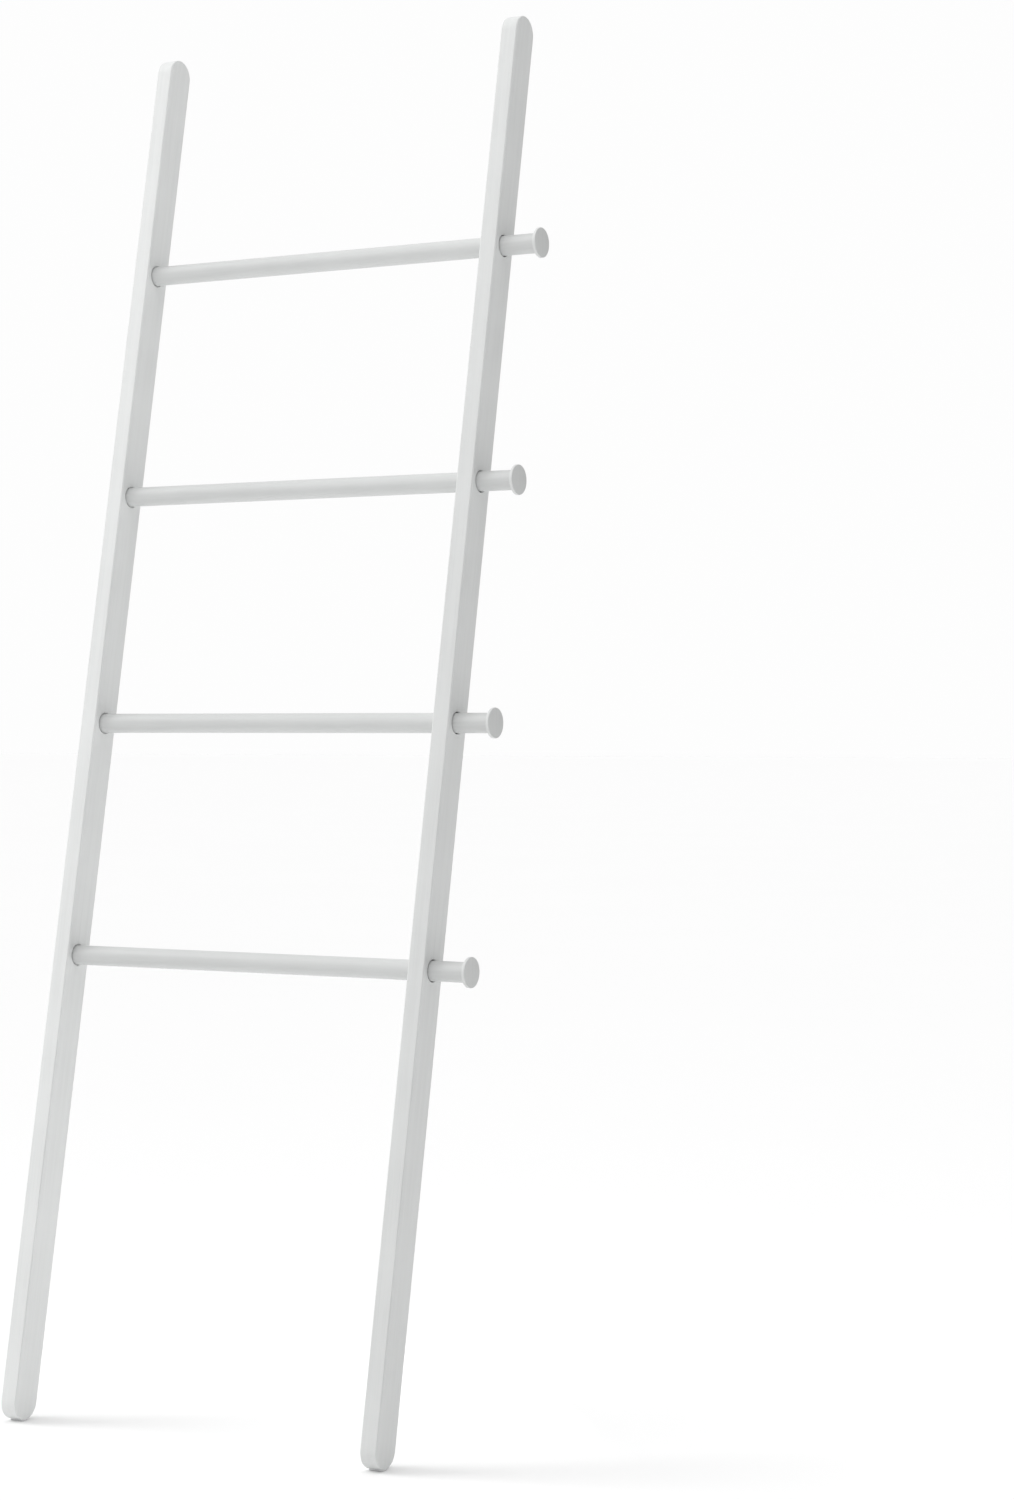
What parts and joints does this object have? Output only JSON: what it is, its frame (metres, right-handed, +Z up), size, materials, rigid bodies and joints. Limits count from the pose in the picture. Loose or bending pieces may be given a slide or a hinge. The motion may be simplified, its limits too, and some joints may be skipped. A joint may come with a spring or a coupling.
{
  "type": "leaning towel ladder",
  "caption": "Leaning wooden ladder for towels and blankets: flat rails with round ends, joined by round rungs whose free ends form disc-tipped pegs beside a sliding rail.",
  "frame": {"origin": "on the floor, below the centre of the ladder's bounding box as it leans in use", "axes": "+Z up, +X along the rungs towards the pegs, +Y back towards the wall it leans on"},
  "size_m": [0.61, 0.381, 1.7758],
  "materials": {
    "rail_paint": "matt pale grey-white paint on straight-grained wood, faint grain, soft edges",
    "rung_paint": "matt pale grey-white paint on turned wood dowel",
    "disc_paint": "matt pale grey-white paint on a turned wood disc",
    "glide_plastic": "moulded dark grey nylon, slightly waxy",
    "bolt_steel": "zinc-plated steel",
    "insert_brass": "turned brass",
    "pad_rubber": "dark grey non-slip rubber"
  },
  "bodies": {
    "fixed_side": {"left_rail": "rail_paint", "left_foot_pad": "pad_rubber", "left_wall_pad": "pad_rubber", "connector_bolts": "bolt_steel", "rung_inserts": "insert_brass", "rung_1": "rung_paint", "rung_2": "rung_paint", "rung_3": "rung_paint", "rung_4": "rung_paint", "peg_disc_1": "disc_paint", "peg_disc_2": "disc_paint", "peg_disc_3": "disc_paint", "peg_disc_4": "disc_paint"},
    "sliding_side": {"right_rail": "rail_paint", "right_foot_pad": "pad_rubber", "right_wall_pad": "pad_rubber", "rung_glide_1": "glide_plastic", "rung_glide_2": "glide_plastic", "rung_glide_3": "glide_plastic", "rung_glide_4": "glide_plastic"}
  },
  "joints": [
    {"name": "width_slide", "type": "slide", "parent": "fixed_side", "child": "sliding_side", "axis": [1, 0, 0], "range_m": [-0.15, 0.0495]}
  ]
}
